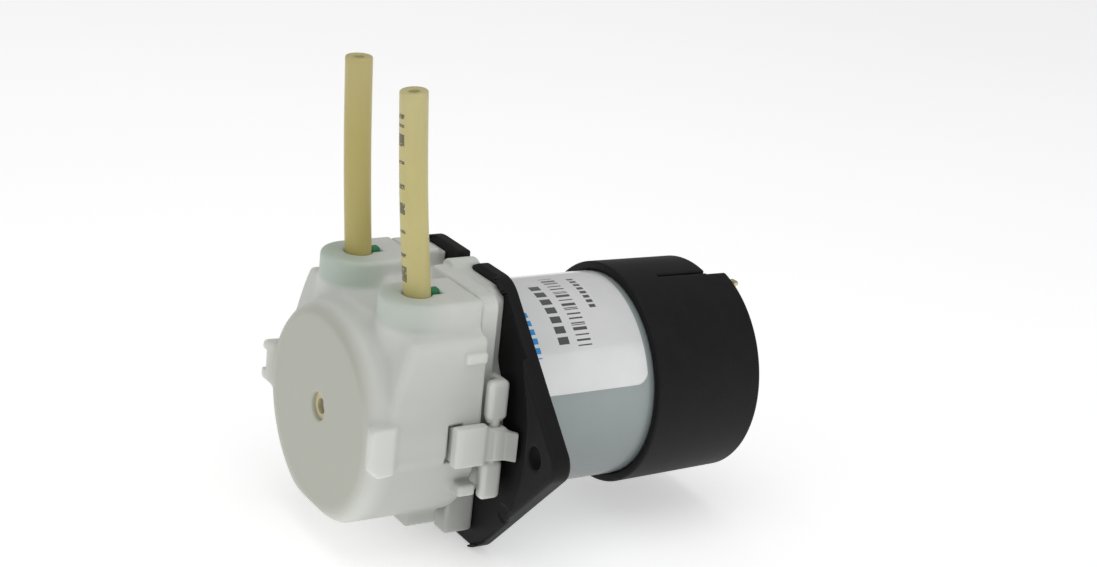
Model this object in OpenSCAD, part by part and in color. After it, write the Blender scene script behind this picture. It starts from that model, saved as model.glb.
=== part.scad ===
// Small peristaltic dosing pump: a snap-on pump head with a squeezed tube loop,
// driven through a friction planetary by a brushed motor behind a mounting plate.
// Origin: shaft axis at the plate's rear face. +Y runs back along the motor,
// +Z runs up the tube legs, +X is to the right when looking along +Y.

/* [Overall] */
// Distance from the plate's rear face to the front of the pump head
head_front = 24.3; // [24:0.1:25]
// Distance from the plate's rear face to the rear rim of the motor sleeve
motor_rear = 43.2; // [43:0.1:44]

/* [Mounting plate] */
// Plate thickness
plate_t = 3; // [2.8:0.1:3.2]
// Half of the plate's height, at its flat top and bottom
plate_half_h = 21.5; // [21:0.1:22]
// Half of the length of the flat top and bottom
plate_flat = 10; // [9:0.5:10.5]
// Half of the plate's width, at its side corners
plate_half_w = 31.2; // [31:0.1:32]
// Distance between the two mounting holes
hole_spacing = 52; // [50:0.5:52]
// Radius of each mounting hole
hole_r = 1.7; // [1.5:0.05:1.8]
// Radius of the shallow recess that the pump head sits in
recess_r = 23.4; // [22.5:0.1:23.6]
// Depth of that recess
recess_d = 1; // [0.8:0.1:1.2]

/* [Pump head] */
// Outer radius of the round part of the head, and half its width
head_r = 17.3; // [17:0.1:17.5]
// Height of the shoulder above the shaft axis
shoulder_z = 15.4; // [15.2:0.1:15.8]
// Height of the tube collars above the shaft axis
collar_z = 20; // [19.8:0.1:20.4]
// Radius of each tube collar
collar_r = 5.5; // [5.2:0.1:5.6]
// Depth of the flat on the underside of the head
bottom_z = 15.7; // [15.6:0.1:16.2]
// Radius of the hole in the front face
nose_r = 2.1; // [2:0.05:2.3]

/* [Tube] */
// Outer radius of the pump tube
tube_r = 2; // [2:0.05:2.05]
// Radius of the tube's bore
tube_bore_r = 0.8; // [0.6:0.05:0.9]
// Distance between the two tube legs
leg_spacing = 19; // [19:0.1:19.2]
// Distance of the tube's centre line in front of the plate's rear face
tube_y = 14.8; // [14.6:0.1:15]
// Length of each straight tube leg, from inside the head to its cut end
leg_l = 37; // [20:0.5:60]
// Lean of the right leg towards the front, in degrees
lean_right = 6.2; // [0:0.2:6.2]
// Lean of the left leg towards the front, in degrees
lean_left = 4.4; // [0:0.2:6.2]

/* [Rotor] */
// Radius of the drive sleeve on the motor shaft
sun_r = 2; // [1.9:0.05:2]
// Radius of each roller
roller_r = 5.15; // [5.1:0.05:5.15]
// Distance of the roller pins from the shaft axis
orbit_r = 7.2; // [7.2:0.01:7.22]
// Radius of each roller pin
pin_r = 1; // [0.9:0.05:1.1]
// Length of each roller
roller_l = 7; // [6.5:0.1:7.2]

/* [Motor] */
// Radius of the motor can
can_r = 16; // [15.9:0.05:16]
// Wall thickness of the can
can_t = 1; // [0.8:0.05:1]
// Radius of the motor shaft
shaft_r = 1.15; // [1.1:0.05:1.2]
// Where the rear sleeve starts, behind the plate's rear face
sleeve_y = 23.8; // [23:0.1:24.5]
// Outer radius of the rear sleeve at its front rim
sleeve_r = 17.45; // [17.3:0.05:17.5]
// Outer radius of the rear sleeve at its rear rim
sleeve_rear_r = 17.05; // [17:0.05:17.1]

/* [Hidden] */
$fn = 72;
eps = 0.01;
run_gap = 0.05;
white = [0.86, 0.88, 0.85];
black = [0.07, 0.07, 0.075];

plate_front = -plate_t;
recess_y = plate_front + recess_d;

// Head shell
shell_t = 1.7;
cover_rear = -7;
face_t = 2;
rim_round = 1.8;
dome_in = 1.5;
dome_round = 2.8;
race_r = 14.6;
roof_z = shoulder_z - shell_t;
ear_x = 18.7;
ear_front = head_front + 0.8;
ear_half_z = 3.65;

// Base of the head
base_r = 15.5;
base_half_w = 12.3;
flange_half_w = 14.9;
flange_rear = -4.3;
base_floor_y = -4.4;
bar_x = 17.6;
bar_y = -4.9;
bar_pin_r = 0.8;
bar_top = 8.8;
bar_bottom = -9.6;
latch_z0 = -3.1;
latch_z1 = 2.3;

// Squeezed part of the tube
squeeze_t = 2.0;
squeeze_w = 5.1;
squeeze_r = race_r - 0.05 - squeeze_t / 2;
leg_x = leg_spacing / 2;
leg_end = 13;
leg_pivot = 17;

// Rotor
mid_y = -tube_y;
rotor_front = mid_y - roller_l / 2 - 0.3;
rotor_rear = mid_y + roller_l / 2 + 0.3;
cage_t = 1.6;
cage_r = 9.6;
hub_r = nose_r - run_gap;

// Motor
can_rear = 38.4;
cap_t = 3.2;
magnet_y0 = 9;
magnet_l = 20;
magnet_t = 2.9;
core_r = 11.6;
core_l = 18;
core_y0 = magnet_y0 + 1;
pole_n = 5;
comm_y0 = 32.2;
comm_l = 4.4;
comm_r = 3.4;
boss_r = 5;
bush_r = 3;
shaft_front = -head_front + 1.1;
shaft_rear = can_rear + 2.1;
screw_x = 10;
tag_x = 4.35;
tag_w = 1.9;
tag_z = 13.2;
tag_t = 0.5;
tag_out = 2.7;
tag_bend = 28;
lip_r = can_r - 0.8;
notch_left = -1.7;
notch_right = 2.3;
notch_d = 3.2;
tongue_r = 2.4;
tongue_x = 0.7;
tongue_z = 18.9;
slit_a = 13.5;
slit_b = -36;
tongue_rear = 39.6;

// A cylinder along Y from y0 to y1
module rod(r, y0, y1, r2 = undef) {
  translate([0, y0, 0])
    rotate([-90, 0, 0])
      cylinder(h = y1 - y0, r1 = r, r2 = is_undef(r2) ? r : r2);
}

// An outline drawn in X and Z, extruded along Y from y0 to y1
module slab(y0, y1) {
  translate([0, y1, 0])
    rotate([90, 0, 0])
      linear_extrude(y1 - y0)
        children();
}

// A box given by its two opposite corners
module block(a, b) {
  translate(a)
    cube(b - a);
}

// A curved strip round the shaft axis: angles run from +Z towards +X
module arc_strip(r0, r1, y0, y1, a0, a1) {
  translate([0, y1, 0])
    rotate([90, 0, 0])
      rotate([0, 0, 90 - a1])
        rotate_extrude(angle = a1 - a0, $fn = 120)
          translate([r0, 0])
            square([r1 - r0, y1 - y0]);
}

// The plate's outline: a long hexagon with rounded side corners
module plate_outline() {
  corner_r = 3;
  slope = atan2(plate_half_w - plate_flat, plate_half_h);
  tip_x = plate_half_w + corner_r * (1 / cos(slope) - 1);
  offset(r = corner_r)
    offset(delta = -corner_r)
      polygon([
        [-plate_flat, plate_half_h], [plate_flat, plate_half_h], [tip_x, 0],
        [plate_flat, -plate_half_h], [-plate_flat, -plate_half_h], [-tip_x, 0]
      ]);
}

module mounting_plate() {
  color(black)
    difference() {
      slab(plate_front, 0)
        plate_outline();
      rod(recess_r, plate_front - 1, recess_y);
      for (side = [-1, 1]) {
        translate([side * hole_spacing / 2, 0, 0])
          rod(hole_r, plate_front - 1, 1);
        translate([side * screw_x, 0, 0])
          rod(1.4, plate_front - 1, 1);
      }
      rod(boss_r + 0.1, plate_front - 1, 1);
      // notch in the top edge, with one corner cut off
      slab(plate_front - 1, 1)
        polygon([
          [notch_left, plate_half_h - notch_d], [notch_right, plate_half_h - notch_d],
          [notch_right, plate_half_h - 0.8], [notch_right + 2, plate_half_h + 0.2],
          [notch_right + 2, plate_half_h + 1], [notch_left, plate_half_h + 1]
        ]);
    }
}

// Outline of the head: a round race housing with square shoulders on top
module head_outline(r, half_w, top, bottom) {
  intersection() {
    union() {
      circle(r, $fn = 120);
      translate([-half_w, 0])
        square([2 * half_w, top]);
    }
    translate([-r - 1, -bottom])
      square([2 * r + 2, bottom + top]);
  }
}

// One tube collar, from the half-round front back to y1
module collar(side, r, z0, z1, y1) {
  translate([side * leg_x, -tube_y, z0])
    cylinder(h = z1 - z0, r = r);
  block([side * leg_x - r, -tube_y, z0], [side * leg_x + r, y1, z1]);
}

// Places its child, drawn along +Z from the shaft's height, on a leaning tube leg
module on_leg(side) {
  translate([side * leg_x, -tube_y + 0.3, leg_pivot])
    rotate([side > 0 ? lean_right : lean_left, 0, 0])
      translate([0, 0, -leg_pivot])
        children();
}

// The shoulder block's side view: its front slopes back above the shaft axis
module shoulder_block() {
  front_low = -head_front + rim_round;
  translate([-head_r, 0, 0])
    rotate([90, 0, 90])
      linear_extrude(2 * head_r)
        polygon([
          [cover_rear, -1], [front_low, -1], [front_low, 3.5],
          [front_low + 1.4, 8], [front_low + 3, 12.4],
          [front_low + 4, 14.6], [front_low + 5, shoulder_z],
          [cover_rear, shoulder_z]
        ]);
}

// A disc from the shaft's height forwards, with a rounded front rim
module disc(r, rim) {
  rotate([90, 0, 0])
    rotate_extrude($fn = 120)
      difference() {
        square([r, head_front]);
        translate([r - rim, head_front - rim])
          difference() {
            square(rim + 1);
            circle(rim, $fn = 64);
          }
      }
}

// The front disc: its upper half is smaller and rounder, ahead of the sloping shoulder
module front_disc() {
  intersection() {
    disc(head_r, rim_round);
    block([-head_r - 1, -head_front - 1, -head_r - 1], [head_r + 1, 0, 0.5]);
  }
  disc(head_r - dome_in, dome_round);
}

// An ear on the head's flank; the left one has a notch in its front outer edge
module ear(side) {
  scale([side, 1, 1])
    difference() {
      intersection() {
        translate([0, 0, -ear_half_z - 1])
          linear_extrude(2 * ear_half_z + 2)
            polygon([
              [head_r - 1.3, -ear_front + 0.8], [ear_x - 1.2, -ear_front],
              [ear_x - 0.2, -ear_front], [ear_x, -ear_front + 0.3],
              [ear_x - 0.4, -ear_front + 4], [head_r + 0.2, -ear_front + 4.8],
              [head_r - 1.3, -ear_front + 4.8]
            ]);
        // the lower front corner is cut off, seen from the side
        rotate([90, 0, 90])
          linear_extrude(ear_x + 1)
            polygon([
              [-ear_front + 1.6, -ear_half_z], [-ear_front + 6, -ear_half_z],
              [-ear_front + 6, ear_half_z], [-ear_front + 0.5, ear_half_z],
              [-ear_front, ear_half_z - 0.5], [-ear_front, -ear_half_z + 1.4]
            ]);
      }
      if (side < 0)
        block([head_r, -ear_front - 1, -0.9], [ear_x + 1, -ear_front + 1.3, 2.3]);
    }
}

module head_cover() {
  color(white)
    difference() {
      union() {
        intersection() {
          front_disc();
          block([-head_r, -head_front, -bottom_z], [head_r, cover_rear, shoulder_z]);
        }
        shoulder_block();
        for (side = [-1, 1]) {
          collar(side, collar_r, shoulder_z - 3, collar_z, cover_rear);
          ear(side);
          block([side * 7 - 2.4, -13.4, -bottom_z - 1.1],
                [side * 7 + 2.4, -8.2, -bottom_z + 2.2]);
          block([side * (head_r - 0.3) - 0.8, -10.6, 11.6],
                [side * (head_r - 0.3) + 0.8, cover_rear, 13.2]);
          block([side * (head_r - 0.5) - 1, -9.8, -8.8],
                [side * (head_r - 0.5) + 1, cover_rear, -7]);
        }
        block([-4.2, -tube_y + 1.8, shoulder_z - 1], [4.2, cover_rear, shoulder_z + 2.6]);
      }
      // race for the squeezed tube, and the narrower room ahead of it
      slab(rotor_front - 0.1, cover_rear + 1)
        intersection() {
          circle(race_r, $fn = 120);
          translate([-race_r, -race_r])
            square([2 * race_r, race_r + roof_z]);
        }
      rod(race_r - 2, -head_front + face_t, rotor_front);
      // room for the tube legs in the shoulders
      for (side = [-1, 1]) {
        block([side * 9.8 - 5.8, -tube_y - 3.1, 3], [side * 9.8 + 5.8, -9, roof_z]);
        block([side * 8.2 - 4.2, -tube_y - 3.1, 3], [side * 8.2 + 4.2, cover_rear + 1, roof_z]);
        on_leg(side) {
          translate([0, 0, roof_z - 1])
            cylinder(h = 10, r = tube_r);
          block([-1.3, 1, roof_z - 1], [1.3, 3.6, collar_z + 1.5]);
        }
        // pocket that the latch nose drops into
        block([side * (head_r + 0.4) - 1.6, -12.3, latch_z0 - 0.3],
              [side * (head_r + 0.4) + 1.6, -10, latch_z1 + 0.3]);
      }
      rod(nose_r, -head_front - 1, -head_front + face_t + 1);
    }
}

// Outline of the base: rounded below, square above with small corner radii
module base_outline(half_w) {
  offset(r = 2)
    offset(delta = -2)
      head_outline(base_r, half_w, collar_z, bottom_z - 0.4);
}

module head_base() {
  color(white)
    difference() {
      union() {
        difference() {
          union() {
            // wide behind the cover, narrower at the plate
            slab(cover_rear, flange_rear)
              base_outline(flange_half_w);
            slab(flange_rear - 0.1, plate_front)
              base_outline(base_half_w);
            slab(plate_front - 0.1, recess_y)
              intersection() {
                base_outline(base_half_w);
                circle(recess_r - 0.2, $fn = 120);
              }
          }
          // valley beside the tongue
          block([-5.5, cover_rear - 1, tongue_z - 0.8], [tongue_x - 1, 0, collar_z + 1]);
        }
        // raised strip behind the left collar
        block([-10.2, cover_rear, collar_z - 1], [-5.5, plate_front, collar_z + 0.6]);
        // round-topped tongue in the plate's top notch
        translate([tongue_x, 0, tongue_z])
          rod(tongue_r, cover_rear + 2.4, recess_y);
        intersection() {
          translate([tongue_x, 0, tongue_z])
            rod(tongue_r, cover_rear + 3, -0.4);
          block([notch_left + 0.1, cover_rear, plate_half_h - notch_d + 0.1],
                [notch_right - 0.1, 0, plate_half_h + 1]);
        }
        for (side = [-1, 1])
          scale([side, 1, 1]) {
            // feet under the base
            block([6.1, -6.8, -19], [9.7, recess_y, -12]);
            // side bars that carry the latches
            for (z = [[latch_z1 + 0.4, bar_top], [bar_bottom, latch_z0 - 0.4]]) {
              block([bar_x - 1.1, -6.6, z[0]], [bar_x + 1.1, -3.2, z[1]]);
              block([base_r - 3.6, base_floor_y, z[0]], [bar_x, -3.2, z[1]]);
            }
            translate([bar_x, bar_y, latch_z0 - 1])
              cylinder(h = latch_z1 - latch_z0 + 2, r = bar_pin_r);
          }
      }
      // hollow behind the rotor
      rod(race_r - 1.6, cover_rear - 1, base_floor_y);
      rod(boss_r + 0.1, cover_rear - 1, 1);
      for (side = [-1, 1])
        translate([side * screw_x, 0, 0])
          rod(1.4, cover_rear - 1, 1);
    }
}

// Latch lever on the side bar, in X and Y: hook in front, curved tail behind
module latch(side) {
  color(white)
    scale([side, 1, 1])
      difference() {
        union() {
          translate([0, 0, latch_z0])
            linear_extrude(latch_z1 - latch_z0)
              polygon([
                [17.75, -11.7], [19.6, -11.7], [19.6, -7.4], [19.2, -6.7],
                [19.2, -4], [20.9, -2.7], [20.2, -2.4], [18.6, -3.5],
                [bar_x - 0.2, -3.5], [bar_x - 1.2, -4], [bar_x - 1.2, -5.6],
                [17.75, -6.9]
              ]);
          translate([0, 0, latch_z0])
            linear_extrude(latch_z1 - latch_z0)
              polygon([[16.7, -11.7], [18, -11.7], [18, -10.3], [17.2, -10.3]]);
        }
        translate([bar_x, bar_y, latch_z0 - 1])
          cylinder(h = latch_z1 - latch_z0 + 2, r = bar_pin_r + run_gap);
      }
}

module latch_right() {
  latch(1);
}

module latch_left() {
  latch(-1);
}

// Tube route from one leg, round below the rotor, to the other leg.
// u runs from -1 (left leg) through 0 (bottom) to 1 (right leg).
turn_a = 120;
// where the tube starts to bulge back to round, and how round it is at turn_a
bulge_a = 106;
bulge = 0.45;
function mix(a, b, t) = a + (b - a) * t;
function ease(t) = t * t * (3 - 2 * t);
function clamp01(t) = min(1, max(0, t));
// angle from the bottom, towards +X
function route_a(u) = turn_a * u;
function arc_point(u) = [sin(route_a(u)), -cos(route_a(u))] * mix(squeeze_r, squeeze_r + 0.5,
  ease(clamp01((abs(u) * turn_a - bulge_a) / (turn_a - bulge_a))));
// cubic from the end of the arc up to the straight leg
function bez(p, t) = p[0] * pow(1 - t, 3) + p[1] * 3 * t * pow(1 - t, 2)
  + p[2] * 3 * t * t * (1 - t) + p[3] * pow(t, 3);
arc_n = 22;
blend_n = 8;
arc_end = arc_point(1);
blend_ctl = [
  arc_end, arc_end + [-cos(turn_a) * -1.6, sin(turn_a) * 1.6],
  [leg_x, leg_end - 1.6], [leg_x, leg_end]
];
half_route = concat(
  [for (i = [0 : arc_n]) arc_point(i / arc_n)],
  [for (i = [1 : blend_n]) bez(blend_ctl, i / blend_n)]
);
half_round = concat(
  [for (i = [0 : arc_n])
    bulge * ease(clamp01((i / arc_n * turn_a - bulge_a) / (turn_a - bulge_a)))],
  [for (i = [1 : blend_n]) mix(bulge, 1, ease(i / blend_n))]
);
last = len(half_route) - 1;
route = concat(
  [for (i = [last : -1 : 1]) [-half_route[i][0], half_route[i][1]]],
  half_route
);
route_round = concat([for (i = [last : -1 : 1]) half_round[i]], half_round);
function unit(v) = v / norm(v);
function direction(i) = unit(route[min(i + 1, len(route) - 1)] - route[max(i - 1, 0)]);
// one ring of the tube wall: half sizes across the loop and along Y
function ring(i, across, along, sides) = [
  for (k = [0 : sides - 1])
    let (a = 360 * (k + 0.5) / sides, d = direction(i))
      [route[i][0] + d[1] * across * cos(a), -tube_y + along * sin(a),
       route[i][1] - d[0] * across * cos(a)]
];
function wall_rings(sides, flat_across, flat_along, r) = [
  for (i = [0 : len(route) - 1])
    each ring(i, mix(flat_across, r, route_round[i]), mix(flat_along, r, route_round[i]), sides)
];
module sweep(points, sides) {
  rings = len(points) / sides;
  faces = concat(
    [[for (k = [0 : sides - 1]) k]],
    [for (i = [0 : rings - 2], k = [0 : sides - 1])
      let (a = i * sides + k, b = i * sides + (k + 1) % sides)
        [a, a + sides, b + sides, b]],
    [[for (k = [sides - 1 : -1 : 0]) (rings - 1) * sides + k]]
  );
  polyhedron(points, faces, convexity = 8);
}

module pump_tube() {
  color([0.83, 0.79, 0.56])
    difference() {
      union() {
        sweep(wall_rings(20, squeeze_t / 2, squeeze_w / 2, tube_r), 20);
        for (side = [-1, 1])
          on_leg(side)
            translate([0, 0, leg_end - 0.3])
              cylinder(h = leg_l, r = tube_r);
      }
      for (side = [-1, 1])
        on_leg(side)
          translate([0, 0, leg_end + 0.3])
            cylinder(h = leg_l + 1, r = tube_bore_r);
    }
}

// Green clip that closes the slot behind each tube
module tube_clip(side) {
  color([0.1, 0.5, 0.3])
    on_leg(side)
      difference() {
        block([-1.3, 1.2, roof_z], [1.3, 3.6, collar_z + 0.5]);
        translate([0, 0, roof_z - 1])
          cylinder(h = 10, r = tube_r);
      }
}

module tube_clip_right() {
  tube_clip(1);
}

module tube_clip_left() {
  tube_clip(-1);
}

// Places its child at the n-th roller position
module at_roller(n) {
  rotate([0, 90 + 120 * n, 0])
    translate([orbit_r, 0, 0])
      children();
}

// Cage disc with scalloped gaps between the rollers
module cage_disc(y0, y1) {
  difference() {
    rod(cage_r, y0, y1);
    for (n = [0 : 2])
      rotate([0, 150 + 120 * n, 0])
        translate([cage_r + 1.2, 0, 0])
          rod(3.6, y0 - 1, y1 + 1);
  }
}

module rotor_front_plate() {
  color([0.9, 0.86, 0.7])
    difference() {
      union() {
        cage_disc(rotor_front - cage_t, rotor_front);
        rod(hub_r, -head_front + 0.6, rotor_front);
        for (n = [0 : 2])
          rotate([0, 150 + 120 * n, 0])
            translate([5.1, 0, 0])
              rod(0.9, rotor_front - 0.4, rotor_rear);
      }
      rod(shaft_r + run_gap, -head_front - 1, rotor_front + 1);
      for (n = [0 : 2])
        at_roller(n)
          rod(pin_r, rotor_front - cage_t - 1, rotor_front + 1);
    }
}

module rotor_rear_plate() {
  color([0.9, 0.86, 0.7])
    difference() {
      cage_disc(rotor_rear, rotor_rear + cage_t);
      rod(sun_r + 0.4, rotor_rear - 1, rotor_rear + cage_t + 1);
      for (n = [0 : 2])
        at_roller(n)
          rod(pin_r, rotor_rear - 1, rotor_rear + cage_t + 1);
    }
}

module roller_pins() {
  color("silver")
    for (n = [0 : 2])
      at_roller(n)
        rod(pin_r, rotor_front - cage_t, rotor_rear + cage_t);
}

module roller(n) {
  color([0.93, 0.93, 0.9])
    at_roller(n)
      difference() {
        rod(roller_r, mid_y - roller_l / 2, mid_y + roller_l / 2);
        rod(pin_r + run_gap, mid_y - roller_l, mid_y + roller_l);
        for (end = [-1, 1])
          translate([0, mid_y + end * roller_l / 2, 0])
            difference() {
              rod(roller_r - 1.1, -0.5, 0.5);
              rod(pin_r + 1, -1, 1);
            }
      }
}

module roller_1() {
  roller(0);
}

module roller_2() {
  roller(1);
}

module roller_3() {
  roller(2);
}

module drive_sleeve() {
  color([0.8, 0.68, 0.4])
    difference() {
      rod(sun_r, rotor_front + 0.2, rotor_rear + cage_t + 0.6);
      rod(shaft_r, rotor_front - 1, rotor_rear + cage_t + 2);
    }
}

module motor_shaft() {
  color("silver")
    union() {
      rod(shaft_r, shaft_front + 0.2, shaft_rear - 0.2);
      rod(shaft_r - 0.2, shaft_front, shaft_front + 0.2, shaft_r);
      rod(shaft_r, shaft_rear - 0.2, shaft_rear, shaft_r - 0.2);
    }
}

module motor_can() {
  color([0.72, 0.76, 0.77])
    difference() {
      union() {
        rod(can_r - 0.6, 0, 0.6, can_r);
        rod(can_r, 0.6, can_rear);
        rod(boss_r, -2.4, eps);
      }
      rod(can_r - can_t, can_t, can_rear + 1);
      rod(bush_r, -3, can_t + 1);
      for (side = [-1, 1])
        translate([side * screw_x, 0, 0])
          rod(1.3, -1, can_t + 1);
      for (n = [0 : 3])
        rotate([0, 45 + 90 * n, 0])
          translate([9.6, 0, 0])
            rod(1.5, -1, can_t + 1);
    }
}

module bush(y0, y1, r) {
  color([0.72, 0.55, 0.3])
    difference() {
      rod(r, y0, y1);
      rod(shaft_r + 0.02, y0 - 1, y1 + 1);
    }
}

module front_bush() {
  bush(-2.9, can_t + 0.8, bush_r);
}

module rear_bush() {
  bush(can_rear - 1.6, can_rear + 1, bush_r);
}

module thrust_washers() {
  color([0.9, 0.88, 0.8])
    for (y = [can_t + 0.9, can_rear - 2.2])
      difference() {
        rod(shaft_r + 1.2, y, y + 0.4);
        rod(shaft_r, y - 1, y + 1);
      }
}

// One rotor lamination: poles with wide tips
module lamination() {
  circle(4.2);
  for (n = [0 : pole_n - 1])
    rotate(360 / pole_n * n) {
      translate([-1.3, 0])
        square([2.6, core_r - 1]);
      intersection() {
        difference() {
          circle(core_r, $fn = 120);
          circle(core_r - 1.6, $fn = 120);
        }
        polygon([[0, 0], [-7.6, 13], [7.6, 13]]);
      }
    }
}

module armature_core() {
  color([0.45, 0.46, 0.48])
    difference() {
      slab(core_y0, core_y0 + core_l)
        lamination();
      rod(shaft_r, core_y0 - 1, core_y0 + core_l + 1);
    }
}

// Winding round each pole: a flat loop with rounded ends beyond the core
module winding() {
  difference() {
    block([-2.9, core_y0 - 2.2, 4.6], [2.9, core_y0 + core_l + 2.2, core_r - 2.2]);
    block([-1.35, core_y0 - 0.1, 4], [1.35, core_y0 + core_l + 0.1, core_r]);
    for (side = [-1, 1])
      translate([side * 3.4, 0, 4])
        rotate([0, side * 26, 0])
          block([-1, core_y0 - 3, -3], [1, core_y0 + core_l + 3, 2.2]);
  }
}

module armature_windings() {
  color([0.72, 0.33, 0.13])
    for (n = [0 : pole_n - 1])
      rotate([0, 360 / pole_n * n, 0])
        winding();
}

module commutator() {
  color([0.8, 0.5, 0.3])
    difference() {
      union() {
        rod(comm_r, comm_y0, comm_y0 + comm_l - 1);
        rod(comm_r + 1, comm_y0 - 1, comm_y0);
      }
      rod(shaft_r, comm_y0 - 2, comm_y0 + comm_l);
      for (n = [0 : pole_n - 1])
        rotate([0, 360 / pole_n * (n + 0.5), 0])
          block([-0.2, comm_y0 - 2, comm_r - 0.7], [0.2, comm_y0 + comm_l, comm_r + 2]);
    }
}

module magnet(centre) {
  color([0.25, 0.25, 0.27])
    arc_strip(can_r - can_t - magnet_t, can_r - can_t, magnet_y0, magnet_y0 + magnet_l,
              centre - 62, centre + 62);
}

module magnet_right() {
  magnet(90);
}

module magnet_left() {
  magnet(-90);
}

// Two bent wire clips that push the magnets apart
module magnet_clips() {
  color("silver")
    for (centre = [0, 180])
      arc_strip(can_r - can_t - 1, can_r - can_t - 0.2, magnet_y0 + 3,
                magnet_y0 + magnet_l - 3, centre - 27.5, centre + 27.5);
}

// Brush with its leaf arm
module brush(side) {
  color([0.3, 0.28, 0.27])
    scale([1, 1, side]) {
      block([-1.5, comm_y0 + 0.5, comm_r + 0.05], [1.5, comm_y0 + 2.9, comm_r + 3.4]);
      block([-1.2, comm_y0 + 0.9, comm_r + 3.4], [9, comm_y0 + 2.5, comm_r + 3.8]);
      block([7.4, comm_y0 + 2.4, comm_r + 3.4], [9, can_rear - 1.2, comm_r + 3.8]);
    }
}

module brush_top() {
  brush(1);
}

module brush_bottom() {
  brush(-1);
}

module end_cap() {
  color(black)
    difference() {
      union() {
        rod(can_r - can_t - 0.02, can_rear - cap_t, can_rear);
        rod(can_r - 0.2, can_rear, can_rear + 0.8);
        rod(bush_r + 2, can_rear, can_rear + 2.4);
      }
      rod(can_r - can_t - 1.6, can_rear - cap_t - 1, can_rear - 1.2);
      rod(bush_r, can_rear - cap_t - 1, can_rear + 1);
      rod(shaft_r + 0.4, can_rear - cap_t, can_rear + 4);
      for (turn = [0, 180])
        rotate([0, turn, 0])
          block([tag_x - tag_w / 2, can_rear - cap_t - 1, tag_z],
                [tag_x + tag_w / 2, can_rear + 2, tag_z + tag_t]);
    }
}

// Solder tag through the end cap, bent outwards behind the sleeve's rim
module terminal(turn) {
  color([0.85, 0.72, 0.45])
    rotate([0, turn, 0])
      union() {
        block([tag_x - tag_w / 2, can_rear - cap_t + 0.2, tag_z],
              [tag_x + tag_w / 2, motor_rear + 0.1, tag_z + tag_t]);
        translate([tag_x, motor_rear, tag_z + tag_t / 2])
          rotate([tag_bend, 0, 0])
            difference() {
              block([-tag_w / 2, -0.1, -tag_t / 2], [tag_w / 2, tag_out, tag_t / 2]);
              translate([0, tag_out - 1, -1])
                cylinder(h = 2, r = 0.5);
            }
      }
}

module terminal_top() {
  terminal(0);
}

module terminal_bottom() {
  terminal(180);
}

module rear_sleeve() {
  color(black)
    difference() {
      rod(sleeve_r, sleeve_y, motor_rear, sleeve_rear_r);
      rod(can_r + 0.02, sleeve_y - 1, motor_rear - 1.2);
      rod(lip_r, motor_rear - 2, motor_rear + 1);
      // window behind the snap tongue, and the slits beside the tongue
      arc_strip(can_r - 3, sleeve_r + 1, tongue_rear, motor_rear + 1, slit_b, slit_a + 1.5);
      for (a = [slit_a, slit_b])
        arc_strip(can_r - 1, sleeve_r + 1, tongue_rear - 9, tongue_rear + 1, a - 0.8, a + 0.8);
    }
}

module motor_label() {
  color([0.88, 0.9, 0.9])
    arc_strip(can_r, can_r + 0.1, 0.8, 22.9, -75, 75);
}

module motor_screws() {
  color("silver")
    for (side = [-1, 1])
      translate([side * screw_x, 0, 0]) {
        rod(1.25, base_floor_y - 0.2, can_t + 0.4);
        rod(2.3, base_floor_y - 1.6, base_floor_y);
      }
}

mounting_plate();
head_base();
head_cover();
latch_right();
latch_left();
pump_tube();
tube_clip_right();
tube_clip_left();
rotor_front_plate();
rotor_rear_plate();
roller_pins();
roller_1();
roller_2();
roller_3();
drive_sleeve();
motor_shaft();
motor_can();
front_bush();
rear_bush();
thrust_washers();
armature_core();
armature_windings();
commutator();
magnet_right();
magnet_left();
magnet_clips();
brush_top();
brush_bottom();
end_cap();
terminal_top();
terminal_bottom();
rear_sleeve();
motor_label();
motor_screws();
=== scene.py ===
"""Looks of the small peristaltic pump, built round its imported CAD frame."""

import functools
import math

import bpy
import numpy as np
from mathutils import Matrix, Vector


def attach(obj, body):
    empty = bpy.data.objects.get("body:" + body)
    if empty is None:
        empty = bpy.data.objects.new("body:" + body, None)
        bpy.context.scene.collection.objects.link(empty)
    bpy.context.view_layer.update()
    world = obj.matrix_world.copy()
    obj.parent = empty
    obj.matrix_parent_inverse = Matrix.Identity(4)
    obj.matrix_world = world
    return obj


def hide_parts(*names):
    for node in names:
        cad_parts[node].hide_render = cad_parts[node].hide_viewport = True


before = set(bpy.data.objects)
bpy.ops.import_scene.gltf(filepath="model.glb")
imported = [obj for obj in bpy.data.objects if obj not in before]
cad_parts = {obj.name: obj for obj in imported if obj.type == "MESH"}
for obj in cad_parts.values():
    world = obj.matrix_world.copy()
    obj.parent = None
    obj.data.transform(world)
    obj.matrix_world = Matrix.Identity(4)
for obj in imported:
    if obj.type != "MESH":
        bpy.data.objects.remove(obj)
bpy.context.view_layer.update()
MM = 0.001

# ---------------------------------------------------------------- camera
cam_data = bpy.data.cameras.new("camera")
cam_data.lens = 67.66
cam_data.sensor_width = 36
cam_data.sensor_fit = "HORIZONTAL"
cam_data.clip_start = 0.01
cam = bpy.data.objects.new("camera", cam_data)
bpy.context.scene.collection.objects.link(cam)
CAM_RIGHT = Vector((0.51356, 0.85181, 0.10332))
CAM_UP = Vector((-0.32780, 0.08349, 0.94105))
CAM_BACK = Vector((0.79297, -0.51716, 0.32210))
cam.matrix_world = Matrix.Translation((0.248912, -0.149145, 0.116755)) @ Matrix(
    (CAM_RIGHT, CAM_UP, CAM_BACK)
).transposed().to_4x4()
bpy.context.scene.camera = cam
bpy.context.scene.view_settings.view_transform = "Standard"


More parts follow.
